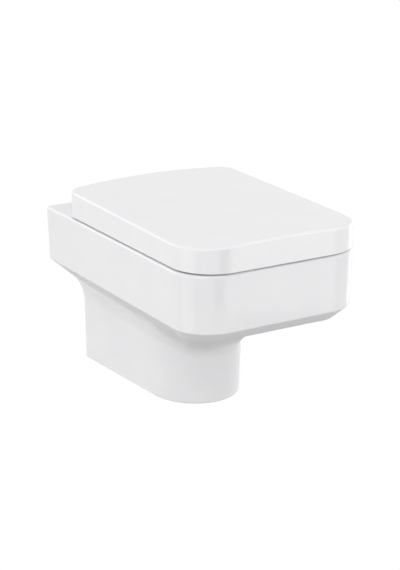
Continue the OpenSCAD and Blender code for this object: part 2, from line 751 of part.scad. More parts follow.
module seat_ring() {
    top = seat_z + seat_t;
    low = seat_z;
    inside = top - seat_wall; // underside of the seat's top wall
    rings = concat(
        [for (a = [0, 45, 90]) at_height(mirrored(offset_half(seat_lip * (1 - sin(a)))),
            top - seat_lip * (1 - cos(a)))],
        [at_height(mirrored(offset_half(0)), low + seat_bevel[1])],
        [at_height(mirrored(offset_half(seat_bevel[0])), low)],
        [at_height(mirrored(offset_half(seat_wall + seat_foot)), low)],
        [at_height(mirrored(offset_half(seat_wall + seat_foot + seat_draft)), inside)],
        [at_height(hole_plan(seat_wall + 2 * seat_draft), inside)],
        [at_height(hole_plan(seat_wall + seat_draft), low)],
        [at_height(hole_plan(seat_bevel[0]), low)],
        [at_height(hole_plan(0), low + seat_bevel[1])],
        [for (a = [90, 45, 0]) at_height(hole_plan(seat_lip * hole_lip * (1 - sin(a))),
            top - seat_lip * (1 - cos(a)))]);
    section = [[-seat_back - arm_root, low + arm_drop], [-seat_back - arm_root, top - arm_drop],
        on_barrel(20), on_barrel(195), on_barrel(140), [-seat_back + arm_drop, low + arm_drop]];
    color("white") union() {
        skin(rings, looped = true);
        pair() inside_post() arm(section);
        pair() for (share = pad_places)
            let (p = on_seat(share), w = pad_w + 2 * pad_boss, l = pad_len + 2 * pad_boss)
                translate([p[0] - w / 2, p[1] - l / 2, low]) cube([w, l, inside + pad_boss - low]);
    }
}

pad_w = 16;
pad_len = 34;
pad_boss = 2; // how far the seat's boss stands out round a pad
pad_recess = 0.05;
// Middles of the seat's pads, as shares of the seat
pad_places = [[0.82, 0.17], [0.87, 0.785]];
module seat_buffers() {
    color("silver") pair() for (share = pad_places)
        let (p = on_seat(share))
            translate([p[0] - pad_w / 2, p[1] - pad_len / 2, deck_z + pad_recess])
                cube([pad_w, pad_len, seat_pad_h - pad_recess]);
}

module seat_damper() {
    color("dimgray") mirror([1, 0, 0]) inside_post() hub();
}

module seat_bush() {
    color("gainsboro") inside_post() hub();
}

// Cover

cover_z = deck_z + cover_gap;
cover_len = cover_d - cover_back;
cover_centre = -cover_back - cover_len / 2; // middle of the cover's top, from which its rings shrink
cover_shares = [0.12, 0.4, 0.7]; // sizes of the rings in the cover's top
lip_bevel = 1; // bevel of the cover's lower edge
lip_t = cover_t - 0.5; // wall thickness of the cover at its lower edge
root_r = 4; // fillet inside the cover, between its walls and its top

function cover_half(inset) = half_plan(cover_w / 2 - inset, -cover_d + inset, -cover_back - inset,
    cover_corner - inset, cover_back_corner - inset, cover_bow);

// Height of the cover's top face over a point of its plan
function cover_top(p) = deck_z + cover_h + cover_rise * (p[1] + cover_d) / cover_len
    + cover_crown * (1 - pow(p[0] / (cover_w / 2), 2));

function on_top(plan, drop) = [for (p = plan) [p[0], p[1], cover_top(p) - drop]];
function shrunk(plan, s) = [for (p = plan) [p[0] * s, cover_centre + (p[1] - cover_centre) * s]];

module cover_shell() {
    outer = mirrored(cover_half(cover_round));
    inner = mirrored(cover_half(cover_t + root_r));
    n = len(cover_shares) - 1;
    skin(concat(
        [for (s = cover_shares) on_top(shrunk(outer, s), 0)],
        [for (a = [0, 30, 60, 90]) on_top(mirrored(cover_half(cover_round * (1 - sin(a)))),
            cover_round * (1 - cos(a)))],
        [at_height(mirrored(cover_half(0)), cover_z + lip_bevel)],
        [at_height(mirrored(cover_half(lip_bevel)), cover_z)],
        [at_height(mirrored(cover_half(lip_t)), cover_z)],
        [on_top(mirrored(cover_half(cover_t)), cover_t + root_r)],
        [on_top(inner, cover_t)],
        [for (i = [n : -1 : 0]) on_top(shrunk(inner, cover_shares[i]), cover_t)]));
}

boss_r = 9;
boss_in = 2; // how far a boss runs up into the cover's top
stop_in = 1; // how much smaller a pad is than its boss
stop_h = 8; // height of the rubber pads under the cover
// Middles of the cover's pads, as shares of the seat
stop_places = [[0.715, 0.1], [0.83, 0.715]];

cover_arm = 30; // how far a cover arm runs forward under the cover's top
arm_under = 3; // how far its upper edge lies under the cover's top face
notch_side = 1; // gap between a seat arm and its notch in the cover's back
notch_h = 44; // height of that notch above the deck

module cover() {
    stop_z = seat_z + seat_t + stop_h;
    x = post_x + arm_in + arm_w;
    crest = cover_top([x, -cover_back - cover_arm]) - arm_under;
    section = [[-cover_back - cover_arm, crest], [-cover_back - cover_arm, axis_z + barrel_r],
        on_barrel(135), on_barrel(170), on_barrel(-10), [-cover_back + arm_drop, crest - 2 * arm_drop]];
    color("white") difference() {
        union() {
            cover_shell();
            pair() outside_post() arm(section);
            pair() for (share = stop_places)
                let (p = on_seat(share))
                    translate([p[0], p[1], stop_z])
                        cylinder(r = boss_r, h = cover_top(p) - cover_t + boss_in - stop_z);
        }
        pair() translate([post_x - arm_in - arm_w - notch_side, -cover_back - cover_t - lip_bevel, cover_z - 1])
            cube([arm_w + 2 * notch_side, cover_t + cover_bow + 2 * lip_bevel, deck_z + notch_h - cover_z + 1]);
    }
}

module cover_buffers() {
    color("silver") pair() for (share = stop_places)
        let (p = on_seat(share))
            translate([p[0], p[1], seat_z + seat_t + pad_recess])
                cylinder(r = boss_r - stop_in, h = stop_h - pad_recess);
}

module cover_damper() {
    color("dimgray") outside_post() hub();
}

module cover_bush() {
    color("gainsboro") mirror([1, 0, 0]) outside_post() hub();
}

pan_body();
wall_brackets();
stud_washers();
stud_nuts();
lug_bushes();
lock_screws();
base_washers();
hinge_bases();
top_fix_bolts();
expansion_bushes();
bush_nuts();
hinge_posts();
post_set_screws();
hinge_pins();
seat_ring();
seat_buffers();
seat_damper();
seat_bush();
cover();
cover_buffers();
cover_damper();
cover_bush();
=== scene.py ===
import math
import bpy
import numpy as np
from mathutils import Matrix, Vector


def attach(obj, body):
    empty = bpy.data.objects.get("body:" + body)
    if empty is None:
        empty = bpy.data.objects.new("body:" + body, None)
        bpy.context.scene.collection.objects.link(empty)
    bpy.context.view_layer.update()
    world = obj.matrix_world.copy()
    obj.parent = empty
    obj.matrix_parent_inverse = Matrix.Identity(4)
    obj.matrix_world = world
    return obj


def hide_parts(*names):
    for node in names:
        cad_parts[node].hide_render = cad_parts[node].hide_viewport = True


# Wall hung toilet: a glazed china pan with a duroplast seat and a wrap-over cover.
# Shapes are worked out in millimetres, from the same values as the CAD, and turned to metres at the end.

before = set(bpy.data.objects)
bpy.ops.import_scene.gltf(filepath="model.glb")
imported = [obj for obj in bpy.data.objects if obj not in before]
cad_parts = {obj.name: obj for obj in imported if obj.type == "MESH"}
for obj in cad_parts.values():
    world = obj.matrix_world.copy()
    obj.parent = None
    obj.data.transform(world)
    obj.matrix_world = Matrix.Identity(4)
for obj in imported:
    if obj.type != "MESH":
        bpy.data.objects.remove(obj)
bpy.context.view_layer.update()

mm = 0.001


# camera

view = {
    "place": (-1.4529, -2.6946, 0.8853),  # where the photographer stood, in metres
    "looksAt": (0.05225, -0.18468, -0.06692),
    "lens": 100.889, "sensor": 36,  # a long lens; the sensor is 36 mm along the tall side
    "sight": 50,  # how far it sees, in metres
}


def makeCamera():
    camera = bpy.data.objects.new("camera", bpy.data.cameras.new("camera"))
    bpy.context.scene.collection.objects.link(camera)
    camera.data.lens = view["lens"]
    camera.data.sensor_width = view["sensor"]
    camera.data.clip_end = view["sight"]
    place = Vector(view["place"])
    camera.location = place
    camera.rotation_mode = "QUATERNION"
    camera.rotation_quaternion = (Vector(view["looksAt"]) - place).to_track_quat("-Z", "Y")
    bpy.context.scene.camera = camera


makeCamera()


# materials

def linearOf(hexColour):
    # an sRGB hex value as the linear colour that shaders take
    parts = [int(hexColour[i:i + 2], 16) / 255 for i in (1, 3, 5)]
    return tuple(c / 12.92 if c <= 0.04045 else ((c + 0.055) / 1.055) ** 2.4 for c in parts) + (1.0,)


def addNode(material, kind, inputs=None, **settings):
    # adds a node; an input given as a socket is linked, any other is set
    node = material.node_tree.nodes.new(kind)
    for name, value in settings.items():
        setattr(node, name, value)
    for name, value in (inputs or {}).items():
        if isinstance(value, bpy.types.NodeSocket):
            material.node_tree.links.new(value, node.inputs[name])
        else:
            node.inputs[name].default_value = value
    return node


def makeMaterial(name, surface):
    # a material round the shader that the function surface builds in it
    material = bpy.data.materials.new(name)
    material.use_nodes = True
    material.node_tree.nodes.clear()
    shader = surface(material)
    addNode(material, "ShaderNodeOutputMaterial", {"Surface": shader.outputs[0]})
    return material


def patternScale(size):
    # a pattern of so many millimetres, as repeats in a metre of object space
    return 1000 / size


def drift(material, low, high, size, detail=2, grit=0.5):
    # a value that drifts between low and high over patches of so many millimetres
    place = addNode(material, "ShaderNodeTexCoord").outputs["Object"]
    noise = addNode(material, "ShaderNodeTexNoise", {
        "Vector": place, "Scale": patternScale(size), "Detail": detail, "Roughness": grit})
    # nearly all of a noise lies between 0.3 and 0.7
    return addNode(material, "ShaderNodeMapRange", {
        "Value": noise.outputs["Fac"], "From Min": 0.3, "From Max": 0.7,
        "To Min": low, "To Max": high}).outputs["Result"]


def mottle(material, first, second, size, detail=2, grit=0.5):
    # a colour that drifts between two
    share = drift(material, 0.0, 1.0, size, detail, grit)
    return addNode(material, "ShaderNodeMix", {
        "Factor": share, 6: linearOf(first), 7: linearOf(second)}, data_type="RGBA").outputs[2]


def relief(material, strength, depth, size, detail=2, grit=0.5, under=None):
    # the normal of bumps so many millimetres deep and wide, on top of another normal if one is given
    place = addNode(material, "ShaderNodeTexCoord").outputs["Object"]
    noise = addNode(material, "ShaderNodeTexNoise", {
        "Vector": place, "Scale": patternScale(size), "Detail": detail, "Roughness": grit})
    inputs = {"Strength": strength, "Distance": depth * mm, "Height": noise.outputs["Fac"]}
    if under:
        inputs["Normal"] = under
    return addNode(material, "ShaderNodeBump", inputs).outputs["Normal"]


china = {
    "colour": "#ECECED", "pooled": "#E9E9EB", "poolSize": 90,  # the glaze pools a little greyer
    "roughness": (0.05, 0.09), "glossSize": 38,
    "dull": 0.6, "dullFrom": -0.5, "dullTo": -0.72,  # how far down a face looks, -1 being straight down
    "pull": 0.012, "pullDepth": 4, "pullSize": 34,  # slow waves left by the body under the glaze
    "peel": 0.006, "peelDepth": 0.6, "peelSize": 2.4,  # orange peel, coarser than the real 1 mm, to show
}


def glazedVitreousChina(m):
    # white glaze fired on a vitreous body: a glassy skin whose reflections waver slightly
    colour = mottle(m, china["colour"], china["pooled"], china["poolSize"], detail=3)
    gloss = drift(m, *china["roughness"], china["glossSize"])
    # the spray reaches an underside at a slant: the glaze is thin there, and dull like an eggshell
    facing = addNode(m, "ShaderNodeNewGeometry").outputs["Normal"]
    rise = addNode(m, "ShaderNodeSeparateXYZ", {"Vector": facing}).outputs["Z"]
    gloss = addNode(m, "ShaderNodeMapRange", {
        "Value": rise, "From Min": china["dullFrom"], "From Max": china["dullTo"],
        "To Min": gloss, "To Max": china["dull"]}, interpolation_type="SMOOTHSTEP").outputs["Result"]
    pull = relief(m, china["pull"], china["pullDepth"], china["pullSize"], detail=1)
    peel = relief(m, china["peel"], china["peelDepth"], china["peelSize"], detail=1, under=pull)
    return addNode(m, "ShaderNodeBsdfPrincipled", {
        "Base Color": colour, "Roughness": gloss, "IOR": 1.52, "Normal": peel})


def unglazedChina(m):
    # the ground back: bare fired body, matt, with a fine sandy tooth
    return addNode(m, "ShaderNodeBsdfPrincipled", {
        "Base Color": mottle(m, "#E3DFD6", "#D6D1C6", size=30, detail=4, grit=0.6),
        "Roughness": 0.8, "IOR": 1.5,
        "Normal": relief(m, strength=0.25, depth=0.6, size=1.6, detail=4, grit=0.7)})


duroplast = {
    "colour": "#EDEDEE", "shade": "#EBEBED", "swirlSize": 55,
    "roughness": (0.08, 0.13), "glossSize": 20,
    "flow": 0.008, "flowDepth": 4, "flowSize": 48,
    "grain": 0.006, "grainDepth": 0.4, "grainSize": 1.2,
}


def mouldedDuroplast(m):
    # urea resin pressed in a polished mould: hard, even and white, a touch softer in gloss than the glaze
    flow = relief(m, duroplast["flow"], duroplast["flowDepth"], duroplast["flowSize"], detail=1)
    grain = relief(m, duroplast["grain"], duroplast["grainDepth"], duroplast["grainSize"], under=flow)
    return addNode(m, "ShaderNodeBsdfPrincipled", {
        "Base Color": mottle(m, duroplast["colour"], duroplast["shade"], duroplast["swirlSize"]),
        "Roughness": drift(m, *duroplast["roughness"], duroplast["glossSize"], detail=3),
        "IOR": 1.6, "Normal": grain})


def polishedChrome(m):
    # chrome plate on a turned post: a clear mirror with the faintest haze of polishing
    return addNode(m, "ShaderNodeBsdfPrincipled", {
        "Base Color": linearOf("#D9DBDE"), "Metallic": 1.0,
        "Roughness": drift(m, 0.05, 0.11, size=6, detail=4, grit=0.6)})


def stainlessSteel(m):
    # turned stainless pins and sockets: fine rings round the axis, drawn near 1.2 mm apart to show
    place = addNode(m, "ShaderNodeTexCoord").outputs["Object"]
    waves = patternScale(1.184) * math.pi / 10  # at a scale of 1 they come every tenth of pi
    rings = addNode(m, "ShaderNodeTexWave", {
        "Vector": place, "Scale": waves, "Distortion": 1.5, "Detail": 2.0},
        wave_type="BANDS", bands_direction="Z")
    rough = addNode(m, "ShaderNodeMapRange", {
        "Value": rings.outputs["Fac"], "From Min": 0.3, "From Max": 0.7, "To Min": 0.22, "To Max": 0.34})
    return addNode(m, "ShaderNodeBsdfPrincipled", {
        "Base Color": linearOf("#C4C6C8"), "Metallic": 1.0, "Roughness": rough.outputs["Result"]})


def zincPlatedSteel(m):
    # bright zinc plate on nuts, washers and screws: bluish, with soft cloudy patches
    return addNode(m, "ShaderNodeBsdfPrincipled", {
        "Base Color": mottle(m, "#C9CDD2", "#B3B8BF", size=5, detail=3, grit=0.6), "Metallic": 1.0,
        "Roughness": drift(m, 0.24, 0.4, size=2.5, detail=3)})


def galvanisedSteel(m):
    # pressed brackets dipped in zinc: flat grey crystals a few millimetres across, the spangle
    place = addNode(m, "ShaderNodeTexCoord").outputs["Object"]
    spangle = addNode(m, "ShaderNodeTexVoronoi", {
        "Vector": place, "Scale": patternScale(6), "Randomness": 1.0})
    grey = addNode(m, "ShaderNodeRGBToBW", {"Color": spangle.outputs["Color"]}).outputs["Val"]
    colour = addNode(m, "ShaderNodeMix", {
        "Factor": grey, 6: linearOf("#AEB2B6"), 7: linearOf("#C6C9CC")}, data_type="RGBA")
    rough = addNode(m, "ShaderNodeMapRange", {
        "Value": grey, "From Min": 0.3, "From Max": 0.7, "To Min": 0.36, "To Max": 0.52})
    return addNode(m, "ShaderNodeBsdfPrincipled", {
        "Base Color": colour.outputs[2], "Metallic": 1.0, "Roughness": rough.outputs["Result"]})


def turnedBrass(m):
    # brass nuts of the hinge fixings: warm yellow with a slight tarnish in patches
    return addNode(m, "ShaderNodeBsdfPrincipled", {
        "Base Color": mottle(m, "#D6B765", "#B8974D", size=4, detail=4, grit=0.6),
        "Metallic": 1.0, "Roughness": 0.3})


def mouldedNylon(m):
    # natural nylon bushes: milky and slightly waxy, with a fine moulded grain
    return addNode(m, "ShaderNodeBsdfPrincipled", {
        "Base Color": mottle(m, "#E4E3DC", "#DAD9D1", size=8), "Roughness": 0.45, "IOR": 1.53,
        "Normal": relief(m, strength=0.12, depth=0.3, size=0.8, detail=3)})


def blackRubber(m):
    # EPDM washers and expansion bushes: deep grey, dusty bloom, soft edges of light
    return addNode(m, "ShaderNodeBsdfPrincipled", {
        "Base Color": mottle(m, "#2A2A2B", "#353536", size=3, detail=4, grit=0.65),
        "Roughness": 0.72, "IOR": 1.5})


def palePadRubber(m):
    # translucent TPE pads that keep seat and cover off hard surfaces: pale grey and matt
    return addNode(m, "ShaderNodeBsdfPrincipled", {
        "Base Color": mottle(m, "#C9CCCF", "#BFC2C6", size=5, detail=3),
        "Roughness": 0.55, "IOR": 1.5, "Subsurface Weight": 0.15, "Subsurface Scale": 2 * mm})


def damperPlastic(m):
    # glass filled polyacetal body of the soft-close dampers: dark grey, satin, faintly fibrous
    return addNode(m, "ShaderNodeBsdfPrincipled", {
        "Base Color": mottle(m, "#3C3D40", "#47484B", size=1.5, detail=5, grit=0.7),
        "Roughness": 0.4, "IOR": 1.48})


finishes = {
    "china": makeMaterial("glazed vitreous china", glazedVitreousChina),
    "bare": makeMaterial("unglazed china body", unglazedChina),
    "duroplast": makeMaterial("moulded duroplast", mouldedDuroplast),
    "chrome": makeMaterial("polished chrome plate", polishedChrome),
    "stainless": makeMaterial("turned stainless steel", stainlessSteel),
    "zinc": makeMaterial("zinc plated steel", zincPlatedSteel),
    "galvanised": makeMaterial("galvanised steel", galvanisedSteel),
    "brass": makeMaterial("turned brass", turnedBrass),
    "nylon": makeMaterial("moulded nylon", mouldedNylon),
    "rubber": makeMaterial("EPDM rubber", blackRubber),
    "pad": makeMaterial("pale TPE pad", palePadRubber),
    "damper": makeMaterial("damper polyacetal", damperPlastic),
}
print("stage: materials made")


def coat(mesh, *names):
    mesh.materials.clear()
    for name in names:
        mesh.materials.append(finishes[name])


# outlines and skins

steps = {
    "side": 44, "arc": 36, "end": 12,  # points along a plan's side, round its corner and along half an end
    "egg": 168, "tube": 64, "rod": 96, "bore": 64, "hole": 48,  # points round a section
    "ball": 24, "bend": 8, "flare": 34, "skirt": 8, "bowl": 5, "cap": 14, "edge": 4,  # sections in a row
}


def mix(a, b, t):
    return a + (b - a) * t


def quarterTurn(count):
    # round a quarter circle of 1: what is left to come, from 1 to 0, with what has come, from 0 to 1
    a = np.radians(np.linspace(0, 90, count))
    return list(zip(1 - np.sin(a), 1 - np.cos(a)))


def halfPlan(halfWidth, front, back, rFront, rBack=0.0, bow=0.0):
    # right half of a plan with round corners, from the back centre to the front centre
    points = []
    for i in range(steps["end"]):
        x = (halfWidth - rBack) * i / steps["end"]
        points.append((x, back + bow * (1 - (x / halfWidth) ** 2)))
    if rBack == 0:
        points.append((halfWidth, back))
    else:
        for i in range(steps["arc"] + 1):
            a = math.radians(90 - 90 * i / steps["arc"])
            x = halfWidth - rBack + rBack * math.cos(a)
            points.append((x, back - rBack + rBack * math.sin(a) + bow * (1 - (x / halfWidth) ** 2)))
    y0, y1 = back - rBack, front + rFront
    for i in range(1, steps["side"]):
        points.append((halfWidth, y0 + (y1 - y0) * i / steps["side"]))
    for i in range(steps["arc"] + 1):
        a = math.radians(-90 * i / steps["arc"])
        points.append((halfWidth - rFront + rFront * math.cos(a), front + rFront + rFront * math.sin(a)))
    for i in range(1, steps["end"] + 1):
        points.append(((halfWidth - rFront) * (1 - i / steps["end"]), front))
    return np.array(points)


def mirrored(half):
    # the whole ring of a right half
    other = half[-2:0:-1].copy()
    other[:, 0] *= -1
    return np.vstack([half, other])


def atHeight(plan, z):
    return np.column_stack([plan, np.full(len(plan), z)])


widest = 0.42  # an oval is widest at this share of its length from the back


def egg(halfWidth, front, back, power):
    # an oval whose corners a power under 1 makes squarer
    middle = back + widest * (front - back)
    a = np.radians(90 - 360 * np.arange(steps["egg"]) / steps["egg"])
    s, c = np.sin(a), np.cos(a)
    x = np.sign(c) * halfWidth * np.abs(c) ** power
    y = middle + np.where(s > 0, back - middle, middle - front) * np.sign(s) * np.abs(s) ** power
    return np.column_stack([x, y])


def makeMesh(name, points, faces):
    mesh = bpy.data.meshes.new(name)
    mesh.from_pydata([tuple(p * mm) for p in points], [], faces)
    mesh.update()
    obj = bpy.data.objects.new(name, mesh)
    bpy.context.scene.collection.objects.link(obj)
    return obj


def faceOutwards(obj):
    # turns a closed mesh's faces outwards if its volume comes out negative
    mesh = obj.data
    volume = 0.0
    for face in mesh.polygons:
        points = [mesh.vertices[i].co for i in face.vertices]
        for a, b in zip(points[1:], points[2:]):
            volume += points[0].dot(a.cross(b))
    if volume < 0:
        mesh.flip_normals()
    return obj


def skin(name, rings, looped=False):
    # a closed skin over rings listed from top to bottom, all with the same number of points
    n, count = len(rings[0]), len(rings)
    faces = []
    for i in range(count if looped else count - 1):
        for j in range(n):
            a, b, k = i * n, ((i + 1) % count) * n, (j + 1) % n
            faces.append((a + j, b + j, b + k, a + k))
    if not looped:
        faces.append(tuple(range(n)))
        faces.append(tuple((count - 1) * n + j for j in range(n - 1, -1, -1)))
    return faceOutwards(makeMesh(name, np.vstack(rings), faces))


def softened(rows, index, reach, count=5):
    # rounds the crease at one row: its points give way to a short curve, so many millimetres to each side
    # where the neighbouring rows leave room
    before, at, after = rows[index - 1], rows[index], rows[index + 1]
    up = before - at
    down = after - at
    lengthUp = np.linalg.norm(up, axis=1)[:, None]
    lengthDown = np.linalg.norm(down, axis=1)[:, None]
    a = at + up * np.minimum(reach / np.maximum(lengthUp, 1e-6), 0.45)
    b = at + down * np.minimum(reach / np.maximum(lengthDown, 1e-6), 0.45)
    curve = [(1 - t) ** 2 * a + 2 * t * (1 - t) * at + t * t * b for t in np.linspace(0, 1, count)]
    return rows[:index] + curve + rows[index + 1:]


def tube(name, path, radius, count=steps["tube"]):
    # a round passage along a path of points, capped at both ends
    path = [np.array(p, float) for p in path]
    rings = []
    side = np.array([1.0, 0.0, 0.0] if abs(path[-1][0] - path[0][0]) < 1 else [0.0, 0.0, 1.0])
    for i, p in enumerate(path):
        ahead = path[min(i + 1, len(path) - 1)] - path[max(i - 1, 0)]
        ahead /= np.linalg.norm(ahead)
        other = np.cross(ahead, side)
        other /= np.linalg.norm(other)
        a = np.radians(360 * np.arange(count) / count)
        rings.append(p + radius * (np.outer(np.cos(a), side) + np.outer(np.sin(a), other)))
    return skin(name, rings)


def roundRod(name, a, b, radius, count=steps["rod"]):
    return tube(name, [a, b], radius, count)


def bentPath(corners, radius):
    # a path through corners with a round bend at each inner one
    corners = [np.array(c, float) for c in corners]
    path = [corners[0]]
    for before, at, after in zip(corners, corners[1:], corners[2:]):
        u = (before - at) / np.linalg.norm(before - at)
        v = (after - at) / np.linalg.norm(after - at)
        half = math.acos(max(-1, min(1, float(u @ v)))) / 2
        reach = radius / math.tan(half)
        a, b = at + u * reach, at + v * reach
        centre = at + (u + v) / np.linalg.norm(u + v) * radius / math.sin(half)
        for t in np.linspace(0, 1, steps["bend"]):
            q = mix(a, b, t) - centre
            path.append(centre + q / np.linalg.norm(q) * radius)
    path.append(corners[-1])
    return path


def ball(name, centre, radius):
    rings = []
    around = 2 * steps["ball"]
    for a in np.radians(np.linspace(88, -88, steps["ball"])):
        b = np.radians(-360 * np.arange(around) / around)
        rings.append(np.column_stack([
            centre[0] + radius * math.cos(a) * np.cos(b), centre[1] + radius * math.cos(a) * np.sin(b),
            np.full(around, centre[2] + radius * math.sin(a))]))
    return skin(name, rings)


def softBox(name, low, high, edge):
    # a block with rounded vertical edges and soft upper and lower rims
    low, high = np.array(low, float), np.array(high, float)
    turns = quarterTurn(steps["edge"])
    levels = [(left, high[2] - edge * come) for left, come in turns]
    levels += [(left, low[2] + edge * come) for left, come in turns[::-1]]
    count = steps["edge"] - 1
    rings = []
    for left, z in levels:
        r = edge - edge * left
        ring = []
        for right, rear, start in ((1, 1, 90), (1, 0, 0), (0, 0, -90), (0, 1, -180)):
            cx = high[0] - edge if right else low[0] + edge
            cy = high[1] - edge if rear else low[1] + edge
            for k in range(count + 1):
                b = math.radians(start - 90 * k / count)
                ring.append((cx + r * math.cos(b), cy + r * math.sin(b), z))
        rings.append(np.array(ring))
    return skin(name, rings)


def softPrism(name, section, x0, x1, edge):
    # a section in (y, z) drawn out along x, with its two rims softened
    section = np.array(section, float)
    n = len(section)
    normals = []
    for i in range(n):
        t = section[(i + 1) % n] - section[i - 1]
        normals.append(np.array([t[1], -t[0]]) / np.linalg.norm(t))
    normals = np.array(normals)
    if ((section - section.mean(axis=0)) * normals).sum() < 0:
        normals = -normals
    turns = quarterTurn(steps["edge"])
    levels = [(left, x0 + edge * come) for left, come in turns]
    levels += [(left, x1 - edge * come) for left, come in turns[::-1]]
    return skin(name, [np.column_stack([np.full(n, x), section - normals * edge * left])
                       for left, x in levels])


def combine(target, operation, *others):
    # joins or cuts with other closed meshes, which are then removed
    for other in others:
        modifier = target.modifiers.new("cut", "BOOLEAN")
        modifier.operation = operation
        modifier.solver = "MANIFOLD"
        modifier.object = other
        bpy.context.view_layer.update()
        depsgraph = bpy.context.evaluated_depsgraph_get()
        result = bpy.data.meshes.new_from_object(target.evaluated_get(depsgraph))
        target.modifiers.clear()
        old = target.data
        target.data = result
        bpy.data.meshes.remove(old)
        bpy.data.objects.remove(other)


creaseAngle = 38  # degrees; a sharper turn stays a crease


def dress(obj, body, replacedNode):
    # smooth shading that keeps real creases, the body it moves with and the CAD's piece it stands for
    obj.data.shade_smooth()
    obj.data.set_sharp_from_angle(angle=math.radians(creaseAngle))
    weighted = obj.modifiers.new("weighted normals", "WEIGHTED_NORMAL")
    weighted.keep_sharp = True
    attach(obj, body)
    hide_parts(replacedNode)


# pan

pan = {
    # rim block: outside sizes, draft of its walls, rounded upper edge, crisp lower one
    "width": 360, "depth": 549, "deckZ": 80, "rimZ": -25, "corner": 72.5, "draft": 3.4,
    "edge": 5.5, "edgeRows": 12, "wallRows": 6, "step": 0.3, "creaseUnderRim": 1.6,
    # skirt and foot: half width lost towards the front, lean and draft down to the foot, round nose
    "footZ": -244.5, "skirtWidth": 208, "skirtTaper": 14.5, "skirtDepth": 342, "skirtLean": 3.2,
    "skirtDraft": 1.7, "skirtNose": 91, "footRound": 4, "footRows": 8,
    # soffit: how far in and down its band runs at the sides and at the front, and how the flare follows
    "bandSide": (48.7, 42.7), "bandFront": (27.8, 24.1), "slopeSide": 41.2, "slopeReach": 88,
    "kneeFront": 79, "flareSide": 31.8, "flareFront": 52, "holdSide": 0.55, "holdFront": 0.8, "lift": 0.55,
    # where the plan's points go round the nose, and where the sides' soffit turns into the front's
    "tailShare": 0.43, "lead": 2.28, "turnStart": 2.2, "turnSpan": 1.9,
    # hollow: china thickness, deck thickness, how the upper and lower room overlap, cut past the wall plane
    "china": 10, "deck": 14, "innerLift": 0.7, "shoulder": 8, "lap": 6, "collar": 1, "past": 0.5,
}


def rimPlan(inset, back):
    inward = pan["draft"] + pan["step"] + inset
    return halfPlan(pan["width"] / 2 - inward, -pan["depth"] + inward, back, pan["corner"] - inward)


def walkedLengths(plan, start):
    lengths = np.zeros(len(plan))
    for i in range(start + 1, len(plan)):
        lengths[i] = lengths[i - 1] + np.linalg.norm(plan[i] - plan[i - 1])
    return lengths


def halfSkirt(inset, back, draft, lean):
    # right half of the skirt's plan, point for point beside the rim's plan
    rim = rimPlan(0, 0)
    lengths = walkedLengths(rim, steps["end"])
    nose = pan["skirtNose"] - inset
    y1 = -pan["skirtDepth"] + lean + inset + nose
    wide = pan["skirtWidth"] / 2 - draft - inset
    narrow = wide - pan["skirtTaper"]
    tilt = math.degrees(math.atan(pan["skirtTaper"] / -y1))
    cosTilt, sinTilt = math.cos(math.radians(tilt)), math.sin(math.radians(tilt))
    side, turn = -y1, nose * math.pi * (90 - tilt) / 180
    points = []
    for i in range(len(rim)):
        if i <= steps["end"]:
            points.append((wide * i / steps["end"], back))
            continue
        t = lengths[i] / lengths[-1]
        share = (1 - pan["tailShare"]) * (1 - (1 - t) ** pan["lead"]) + pan["tailShare"] * t
        walk = share * (side + turn)
        if walk < side:
            points.append((mix(wide, narrow, walk / side), mix(back, y1, walk / side)))
        else:
            a = math.radians(tilt + (90 - tilt) * min(1, (walk - side) / turn))
            points.append((narrow * math.cos(a) / cosTilt,
                           y1 - nose * (math.sin(a) - sinTilt) / (1 - sinTilt)))
    points[-1] = (0.0, points[-1][1])
    return np.array(points)


def bezier(a, b, c, d, t):
    s = 1 - t
    return s ** 3 * a + 3 * s * s * t * b + 3 * s * t * t * c + t ** 3 * d


def reachUnder(rim, top):
    # how far the skirt's top lies inside the rim, square to the rim's outline
    start, n = steps["end"], len(rim) - 1
    reach = np.zeros(n + 1)
    for i in range(n + 1):
        k = max(i, start)
        t = rim[min(k + 1, n)] - rim[max(k - 1, start)]
        out = np.array([-t[1], t[0]]) / np.linalg.norm(t)
        reach[i] = (rim[k] - top[k]) @ out
    return reach


def skirtRows(inset):
    # the rim's lower outline and, under it, soffit band, flare, skirt and foot, as right half rows
    back = pan["past"] if inset else 0.0
    rim, top = rimPlan(inset, back), halfSkirt(inset, back, 0, 0)
    reach = reachUnder(rim, top)
    turnAt, turnOver = pan["depth"] - pan["turnStart"] * pan["corner"], pan["turnSpan"] * pan["corner"]
    t = np.clip((-rim[:, 1] - turnAt) / turnOver, 0, 1)
    f = t * t * (3 - 2 * t)
    bandIn = mix(pan["bandSide"][0], pan["bandFront"][0], f)
    bandDown = mix(pan["bandSide"][1], pan["bandFront"][1], f)
    slope = math.tan(math.radians(pan["slopeSide"]))
    kneeSide = pan["bandSide"][1] + (np.minimum(pan["slopeReach"], reach) - pan["bandSide"][0]) * slope
    knee = mix(kneeSide, pan["kneeFront"], f)
    end = knee + mix(pan["flareSide"], pan["flareFront"], f)
    hold = mix(pan["holdSide"], pan["holdFront"], f)
    u = np.minimum(1, bandIn / np.maximum(reach, 1))
    rimZ, footZ = pan["rimZ"] + inset * pan["innerLift"], pan["footZ"] + inset
    rows = []
    for t in np.linspace(0, 1, steps["flare"] + 1):
        w = bezier(u, mix(u, 1, hold), 1, 1, t)
        z = bezier(bandDown, mix(bandDown, knee, hold), mix(end, knee, pan["lift"]), end, t)
        rows.append(np.column_stack([mix(rim, top, w[:, None]), rimZ - z]))
    flareEnd = rows[-1]
    foot = [atHeight(halfSkirt(inset + pan["footRound"] * come, back, pan["skirtDraft"], pan["skirtLean"]),
                     footZ + pan["footRound"] * left) for left, come in quarterTurn(pan["footRows"])]
    rows += [mix(flareEnd, foot[0], t) for t in np.linspace(0, 1, steps["skirt"] + 1)[1:]]
    return atHeight(rim, rimZ), rows + foot[1:]


